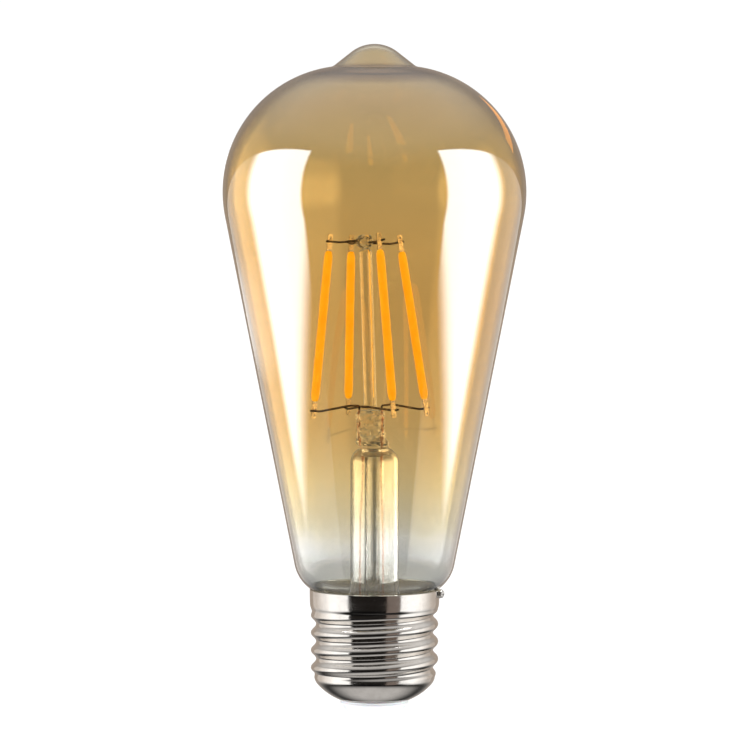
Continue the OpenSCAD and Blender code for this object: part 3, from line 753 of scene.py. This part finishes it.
def fine_path(points, step):
    """Points along a Catmull-Rom curve through the given ones, about step apart."""
    pts = [Vector((*p, 0)) for p in points]
    pts = [pts[0] * 2 - pts[1]] + pts + [pts[-1] * 2 - pts[-2]]
    path = []
    for p0, p1, p2, p3 in zip(pts, pts[1:], pts[2:], pts[3:]):
        n = max(1, round((p2 - p1).length / step))
        for i in range(n):
            t = i / n
            path.append(0.5 * (2 * p1 + (p2 - p0) * t + (2 * p0 - 5 * p1 + 4 * p2 - p3) * t * t
                               + (3 * p1 - p0 - 3 * p2 + p3) * t**3))
    return [(p.x, p.y) for p in path + [pts[-2]]]


def shell_point(r, a, z):
    """A point of the shell: the helix swells it in and out, and the rim has a nick under the solder."""
    crest = math.cos(TURN * (z - CREST_LEFT_Z) / PITCH - a + math.pi)
    crest = math.copysign(abs(crest) ** (0.8 if crest > 0 else 1.0), crest)
    r += thread_share(z) * THREAD_AMP * crest
    turn = abs((math.degrees(a) - NICK_ANGLE + 180) % 360 - 180)
    z -= NICK_DEPTH * smooth(1 - turn / NICK_HALF) * smooth((z - RIM_Z + 1.2) / 1.2)
    return (r * math.cos(a), r * math.sin(a), z)


def make_cap():
    full = THREAD_FULL_TOP - THREAD_FULL_LOW
    rows = [(THREAD_MID, THREAD_FULL_LOW + full * i / 8) for i in range(9)]
    path = fine_path(CROWN + rows + SKIRT, SHELL_STEP)
    inner = []
    for i, (r, z) in enumerate(path):
        before, after = path[max(i - 1, 0)], path[min(i + 1, len(path) - 1)]
        length = math.hypot(after[0] - before[0], after[1] - before[1])
        nr, nz = (after[1] - before[1]) / length, -(after[0] - before[0]) / length
        inner.append((r - SHEET * nr, z - SHEET * nz))
    rim = [(RIM_R - 0.03, RIM_Z + 0.04), (RIM_R - SHEET / 2, RIM_Z + 0.06)]
    rim += [(RIM_R - SHEET + 0.03, RIM_Z + 0.04)]
    section = path[:-1] + rim + inner[::-1][1:]
    section = [(r, min(z, RIM_Z)) for r, z in section]
    verts, faces = lathe(section, 144, shell_point)
    piece("cap_shell", verts, faces, "nickel_plate", ["screw_shell"])


def make_insulator():
    bore, face = 1.2, 0.2
    section = [(bore, face), (4.3, face)]
    section += arc((4.5, face + 0.6), 0.6, -90, -36, 9)
    section += [(6.78, 2.75)] + arc((6.75, 3.1), 0.38, -20, 60, 16)
    section += [(6.9, 3.52), (6.9, 4.02), (7.5, 4.4), (7.5, 5.6), (6.4, 5.6), (5.6, 3.4)]
    section += [(2.4, 2.4), (2.4, 3.6), (bore, 3.6)]
    verts, faces = lathe(section, 96)
    piece("insulator", verts, faces, "white_insulator", ["cap_insulator"])


def make_contact():
    """Rivet contact: a flat face with rolled edge, a turned ring and the domed end of its shank."""
    section = [(0, 0.03), (0.7, 0.03), (0.8, 0.0), (1.5, 0), (1.6, 0.03), (1.8, 0.03), (1.9, 0)]
    section += [(3.05, 0)] + arc((3.2, 0.1), 0.1, -90, 60, 25) + [(3.4, 0.2), (1.2, 0.2), (1.2, 4.0)]
    section += arc((0.7, 4.1), 0.5, 0, 90, 18) + [(0, 4.6)]
    verts, faces = lathe(section, 72)
    piece("contact_rivet", verts, faces, "contact_metal", ["center_contact"])


def make_solder():
    """A blob of solder that has run down the skirt from the rim."""
    lo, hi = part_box("side_solder")
    middle = (lo + hi) / 2 / MM
    verts, faces = ball((0, 0, 0), (0.78, 0.82, 0.95), 40, 26)
    shaped = []
    for x, y, z in wobble(verts, 0.16, 0.7, 3):
        r = RIM_R + 0.02 + max(0, x + 0.32)
        a = math.radians(NICK_ANGLE) + y / RIM_R
        shaped.append((r * math.cos(a), r * math.sin(a), middle.z + z * (0.98 if z > 0 else 1.05)))
    piece("solder_blob", shaped, faces, "solder", ["side_solder"])


def make_cement():
    low, top = 21.8, 26.4
    inner = [(r + 0.02, z) for r, z in bulb_path(0)[1:] if low < z < top]
    outer = [(13.02, top), (13, 25), (12.9, 23.8), (12.7, 23), (12.4, 22.3), (11.62, low)]
    section = [(NECK_R + 0.02, low)] + inner + outer

    def lumpy(r, a, z):
        rise = smooth((z - top + 0.3) / 0.3) * noise.noise(Vector((math.cos(a), math.sin(a), 0)) * 14) * 0.16
        return (r * math.cos(a), r * math.sin(a), z + rise)

    verts, faces = lathe(section, 180, lumpy)
    piece("cement_ring", verts, faces, "cement", ["basing_cement"])


# ---------------------------------------------------------------- stem

STEM_R, STEM_WALL, STEM_TOP = 5.0, 0.8, 56.2
FLARE_LOW, FLARE_FILLET, SHOULDER = 20.6, 5.2, 3.2
PINCH_X, PINCH_TOP = -0.85, 63.9
MOUNT_LEAN = math.radians(1.8)
POST_R = 1.35
PUMP_R, PUMP_WALL, PUMP_LOW, PUMP_TOP = 2.0, 0.5, 14.6, 54.4


def flare_path(inset):
    c = (STEM_R + FLARE_FILLET, FLARE_LOW + FLARE_FILLET + 0.9)
    s = (STEM_R - SHOULDER, STEM_TOP - SHOULDER)
    wall = [(STEM_R - inset, c[1] + (s[1] - c[1]) * i / 10) for i in range(1, 10)]
    edge = [(NECK_R - GLASS_WALL - 0.02, c[1] - FLARE_FILLET - inset)]
    return edge + arc(c, FLARE_FILLET + inset, 270, 180, 4) + wall + arc(s, SHOULDER - inset, 0, 66, 5)


def make_stem_tube():
    verts, faces = lathe(flare_path(0)[::-1] + flare_path(STEM_WALL), 96)
    piece("stem_tube", verts, faces, "clear_glass", ["stem_flare_tube"])


def make_pump_tube():
    """The exhaust tube, melted shut at its lower end."""
    r, bore, low, top = PUMP_R, PUMP_R - PUMP_WALL, PUMP_LOW, PUMP_TOP
    floor = low + r + 0.4
    rows = [floor + (top - 0.55 - low - r) * i / 20 for i in range(1, 21)]
    section = [(0, low)] + arc((0, low + r), r, -90, 0, 9)[1:] + [(r, z) for z in rows]
    section += [(r - 0.15, top), (bore + 0.1, top)] + [(bore, z) for z in reversed(rows)]
    section += arc((0, floor), bore, 0, -90, 9)[:-1] + [(0, low + PUMP_WALL + 0.4)]
    verts, faces = lathe(section, 64)
    piece("pump_tube", verts, faces, "clear_glass", ["exhaust_tube"])


def oval(z, half_x, half_y, shift, power, sides):
    """One ring of the pinch: a superellipse."""
    ring = []
    for j in range(sides):
        c, s = math.cos(TURN * j / sides), math.sin(TURN * j / sides)
        x = math.copysign(abs(c) ** (2 / power), c) * half_x + shift
        ring.append((x, math.copysign(abs(s) ** (2 / power), s) * half_y, z))
    return ring


def pinch_shape():
    """The pressed top of the stem, and after it the bubbles that pressing leaves in it."""
    sides = 72
    keys = [  # height, half widths, sideways shift, squareness
        (54.44, 2.0, 2.0, 0, 2), (54.5, 3.3, 3.3, 0, 2), (55.0, 2.9, 2.9, 0, 2), (55.3, 2.7, 2.7, 0, 2),
        (56.1, 2.7, 2.65, 0, 2), (56.6, 3.3, 2.9, -0.2, 2.1), (57.3, 3.3, 2.5, -0.5, 2.3),
        (58.4, 2.9, 1.95, -0.8, 2.6), (60.2, 2.8, 1.8, -0.85, 2.8), (62.2, 2.95, 1.85, -0.85, 2.8),
        (63.3, 2.9, 1.75, -0.85, 2.5), (63.75, 2.5, 1.4, -0.85, 2.3), (63.88, 1.9, 0.9, -0.85, 2),
        (63.89, 0.7, 0.3, -0.85, 2),
    ]
    pts = [Vector(k[:4]) for k in keys]
    verts, rows = [], 0
    for i in range(len(pts) - 1):
        steps = max(1, round((pts[i + 1][0] - pts[i][0]) / 0.16))
        for s in range(steps):
            t = s / steps
            z, hx, hy, shift = pts[i].lerp(pts[i + 1], t)
            power = keys[i][4] + (keys[i + 1][4] - keys[i][4]) * t
            verts += oval(z, hx, hy, shift, power, sides)
            rows += 1
    verts += oval(*keys[-1][:4], keys[-1][4], sides)
    rows += 1
    moved = []
    for v in verts:
        share = smooth((v[2] - 56.3) / 1.0) * smooth((PINCH_TOP - v[2]) / 0.5)
        dent = noise.noise_vector(Vector(v) * 0.8) * 0.35 + noise.noise_vector(Vector(v) * 2.1) * 0.26
        moved.append(Vector(v) + Vector((dent.x, dent.y, dent.z * 0.4)) * share)
    faces = grid_faces(rows, sides)
    faces += [tuple(reversed(range(sides))), tuple(range((rows - 1) * sides, rows * sides))]
    bubbles = [  # centre, half widths
        ((0.5, -0.3, 57.7), (1.05, 0.5, 0.42)), ((-1.9, -0.2, 60.4), (0.3, 0.22, 0.75)),
        ((0.3, 0.3, 61.2), (0.38, 0.25, 0.9)), ((-0.9, -0.7, 62.3), (0.32, 0.22, 0.3)),
        ((-2.2, 0.4, 62.6), (0.18, 0.18, 0.4)), ((0.9, -0.5, 59.6), (0.2, 0.2, 0.5)),
        ((-0.6, 0.5, 59.0), (0.25, 0.2, 0.6)), ((0.9, 0.2, 62.8), (0.22, 0.2, 0.22)),
    ]
    return joined((moved, faces), *[ball(centre, radii, 20, 12) for centre, radii in bubbles])


def hollow_out(obj, first_vertex):
    """Turns the shells from this vertex on inside out, as voids in the glass."""
    bm = bmesh.new()
    bm.from_mesh(obj.data)
    voids = [f for f in bm.faces if min(v.index for v in f.verts) >= first_vertex]
    bmesh.ops.reverse_faces(bm, faces=voids)
    bm.to_mesh(obj.data)
    bm.free()


def make_pinch():
    verts, faces = pinch_shape()
    obj = piece("stem_press", verts, faces, "clear_glass", ["stem_pinch"])
    # The top of the body is its last ring, and no bubble reaches so high
    body_end = max(i for i, v in enumerate(obj.data.vertices) if v.co.z > (PINCH_TOP - 0.02) * MM)
    hollow_out(obj, body_end + 1)


def make_post():
    base, top = mounted((0, 0, 0.02)), mounted((0, 0, BEAD_Z - BEAD_HALF))
    path = [base.lerp(top, i / 40) for i in range(41)]
    verts, faces = tube(path, POST_R, 48)
    piece("post_rod", verts, faces, "clear_glass", ["glass_post"])


# ---------------------------------------------------------------- filament mount

WELD_LOW, WELD_TOP = 0.1, 34.7
TOP_RING, LOW_RING, RING_TURN = 7.8, 12.45, 22
TURNS = [180, 90, 270, 0]
RISE = [0.35, -0.3, 0.5, -0.5]
BEAD_Z, BEAD_R, BEAD_HALF = 34.75, 1.75, 1.45
FILAMENT, COAT, COAT_R = 38.0, 31.0, 0.88
TAB_W, TAB_T = 1.0, 0.3
WIRE_D, LEAD_R = 0.45, 0.2
TILT = math.atan((LOW_RING - TOP_RING) / (WELD_TOP - WELD_LOW))
WELD_Z = (WELD_TOP - WELD_LOW) / math.cos(TILT) / 2
TAIL = 1.0


def mounted(p):
    """A point of the leaning mount, whose origin is the pinch's top, in the row frame."""
    c, s = math.cos(MOUNT_LEAN), math.sin(MOUNT_LEAN)
    return Vector((PINCH_X + p[0] * c - p[2] * s, p[1], PINCH_TOP + p[0] * s + p[2] * c))


def filament_angle(k):
    return RING_TURN + TURNS[k - 1]


def on_filament(k, p):
    """A point of filament k, x away from the mount's axis and z along the filament, in the mount's frame."""
    a = math.radians(filament_angle(k))
    x = (LOW_RING + TOP_RING) / 2 + p[0] * math.cos(TILT) - p[2] * math.sin(TILT)
    z = (WELD_LOW + WELD_TOP) / 2 + RISE[k - 1] + p[0] * math.sin(TILT) + p[2] * math.cos(TILT)
    return Vector((x * math.cos(a) - p[1] * math.sin(a), x * math.sin(a) + p[1] * math.cos(a), z))


def flat_sideways(k):
    return k in (1, 4)


def weld_side(k):
    return (TAB_T if flat_sideways(k) else TAB_W) / 2 + WIRE_D / 2 + 0.02


def arm_end(k, z, x):
    return mounted(on_filament(k, (x, weld_side(k), z)))


def top_path(a, b, side):
    turn = (filament_angle(a) + filament_angle(b)) / 2
    if abs(filament_angle(a) - filament_angle(b)) > 180:
        turn += 180
    reach = abs(side) * 1.2
    turn = math.radians(turn)
    v = mounted((reach * math.cos(turn), reach * math.sin(turn), BEAD_Z + side * 0.9))
    first = [arm_end(a, WELD_Z, TAIL), arm_end(a, WELD_Z, -2)]
    second = [arm_end(b, WELD_Z, -2), arm_end(b, WELD_Z, TAIL)]
    return rounded(first + [v] + second, 0.6)


LEAD_RISE = 1.0
FEET = {"left": (PINCH_X - 2.3, -0.5), "right": (PINCH_X + 2.3, -0.5)}
LEADS = {"left": (-2.4, -0.6), "right": (1.35, -2.1)}


def lead_path(k, foot):
    inner = mounted(on_filament(k, (-LOW_RING * 0.62, weld_side(k), -WELD_Z)))
    bend = PINCH_TOP + LEAD_RISE
    points = [(*foot, PINCH_TOP), (*foot, PINCH_TOP + LEAD_RISE * 0.9), (inner.x, inner.y, bend)]
    return rounded(points + [arm_end(k, -WELD_Z, -1.2), arm_end(k, -WELD_Z, TAIL)], 0.55)


def jumper_path():
    ring = POST_R + WIRE_D / 2 + 0.1
    angles = [math.radians(a) for a in range(160, 261, 10)]
    hook = [mounted((ring * math.cos(a), ring * math.sin(a), 0.7)) for a in angles]
    start = [arm_end(2, -WELD_Z, TAIL), arm_end(2, -WELD_Z, -1.5)]
    end = [arm_end(3, -WELD_Z, -1.5), arm_end(3, -WELD_Z, TAIL)]
    return start + hook + end


def seal_path(side):
    lead, foot = LEADS[side], FEET[side]
    low = STEM_TOP - 3
    points = [(*lead, low), (*lead, STEM_TOP - 0.7), (*foot, STEM_TOP + 3), (*foot, PINCH_TOP)]
    return rounded(points, 0.6)


BOARD_TOP = 10.4
PADS = {"left": (-5.4, -5.2), "right": (1.2, -9)}


def outer_lead_path(side):
    lead, pad = LEADS[side], PADS[side]
    wide = (lead[0] * 1.25, lead[1] * 1.25, NECK_LOW + 4)
    points = [(*pad, BOARD_TOP + 0.02), (*pad, BOARD_TOP + 3), wide, (lead[0] * 1.2, lead[1] * 1.2, 40)]
    return rounded(points + [(*lead, STEM_TOP - 6), (*lead, STEM_TOP - 3.02)], 0.7)


def fine(path, step=0.35):
    """The path with long stretches cut into short ones, so that a tube along it can carry detail."""
    out = [path[0]]
    for a, b in zip(path, path[1:]):
        n = max(1, math.ceil((b - a).length / step))
        out += [a.lerp(b, (i + 1) / n) for i in range(n)]
    return out


def make_wires():
    d = WIRE_D / 2
    jobs = [
        ("top_arm_left", top_path(1, 2, 0.35), d, "support_wire", "top_wire_left"),
        ("top_arm_right", top_path(3, 4, -0.35), d, "support_wire", "top_wire_right"),
        ("lower_arm_left", lead_path(1, FEET["left"]), d, "support_wire", "lead_wire_left"),
        ("lower_arm_right", lead_path(4, FEET["right"]), d, "support_wire", "lead_wire_right"),
        ("post_hook", jumper_path(), d, "support_wire", "bottom_jumper_wire"),
        ("seal_left", seal_path("left"), d, "seal_wire", "seal_wire_left"),
        ("seal_right", seal_path("right"), d, "seal_wire", "seal_wire_right"),
        ("tail_left", outer_lead_path("left"), LEAD_R, "copper_lead", "outer_lead_left"),
        ("tail_right", outer_lead_path("right"), LEAD_R, "copper_lead", "outer_lead_right"),
    ]
    for name, path, radius, slot, node in jobs:
        verts, faces = tube(fine(path), radius, 12)
        piece(name, verts, faces, slot, [node])


def make_bead():
    """The glass bead that holds the upper arms: a lump that has melted round them."""
    verts, faces = ball((0, 0, 0), (BEAD_R, BEAD_R, BEAD_HALF), 48, 28)
    verts = [mounted((v.x, v.y, v.z + BEAD_Z)) for v in wobble(wobble(verts, 0.3, 1.3, 5), 0.16, 0.5, 2)]
    piece("bead", verts, faces, "clear_glass", ["post_bead"])


def coat_section():
    """The coat's outline: round ends that thin towards the tabs, and a slightly uneven body."""
    half, taper = COAT / 2, 2.0
    rows = []
    for i in range(121):
        z = -half + COAT * i / 120
        end = min(1, (half - abs(z)) / taper)
        r = COAT_R * (0.5 + 0.5 * math.sqrt(max(0, 1 - (1 - end) ** 2)))
        rows.append((r, z))
    return [(0, -half)] + rows + [(0, half)]


def make_filament(k):
    def place(p):
        return mounted(on_filament(k, p))

    verts, faces = lathe(coat_section(), 36)
    uneven = []
    for x, y, z in verts:
        swell = 1 + 0.05 * noise.noise(Vector((x * 0.6, y * 0.6, z * 0.35 + 11 * k)))
        uneven.append(place((x * swell, y * swell, z)))
    piece(f"coat_{k}", uneven, faces, "phosphor_coat", [f"filament_{k}_coat"])
    verts, faces = joined(*[tab_shape(k, end, place) for end in (-1, 1)])
    piece(f"tabs_{k}", verts, faces, "filament_tab", [f"filament_{k}_end_tabs"])


def tab_shape(k, end, place):
    """One end tab: a stamped strip with a hole by its end."""
    bm = bmesh.new()
    start, stop = COAT / 2 - 0.2, FILAMENT / 2
    hole_z, hole_r = stop - 0.6, 0.25
    outline = [(-TAB_W / 2, start), (TAB_W / 2, start), (TAB_W / 2, stop - 0.12), (TAB_W / 2 - 0.12, stop)]
    outline += [(-TAB_W / 2 + 0.12, stop), (-TAB_W / 2, stop - 0.12)]
    edge = [bm.verts.new((x, 0, z)) for x, z in outline]
    edges = [bm.edges.new((a, b)) for a, b in zip(edge, edge[1:] + edge[:1])]
    ring = [bm.verts.new((hole_r * math.cos(TURN * i / 16), 0, hole_z + hole_r * math.sin(TURN * i / 16)))
            for i in range(16)]
    edges += [bm.edges.new((a, b)) for a, b in zip(ring, ring[1:] + ring[:1])]
    bmesh.ops.triangle_fill(bm, use_beauty=True, edges=edges)
    solid = bmesh.ops.extrude_face_region(bm, geom=bm.faces[:])
    top = [v for v in solid["geom"] if isinstance(v, bmesh.types.BMVert)]
    for v in bm.verts:
        v.co.y = -TAB_T / 2
    for v in top:
        v.co.y = TAB_T / 2
    bm.verts.index_update()
    verts = []
    for v in bm.verts:
        across, thick, along = v.co
        flat = (across, thick) if flat_sideways(k) else (thick, across)
        verts.append(place((*flat, end * along)))
    faces = [tuple(v.index for v in f.verts) for f in bm.faces]
    bm.free()
    return verts, faces


# ---------------------------------------------------------------- put together

make_camera()
make_studio()
dress_cad_nodes()
bulb = make_bulb()
make_cap()
make_insulator()
make_contact()
make_solder()
make_cement()
make_stem_tube()
make_pump_tube()
make_pinch()
make_post()
make_bead()
make_wires()
for number in range(1, 5):
    make_filament(number)

light_the_glass([bulb])
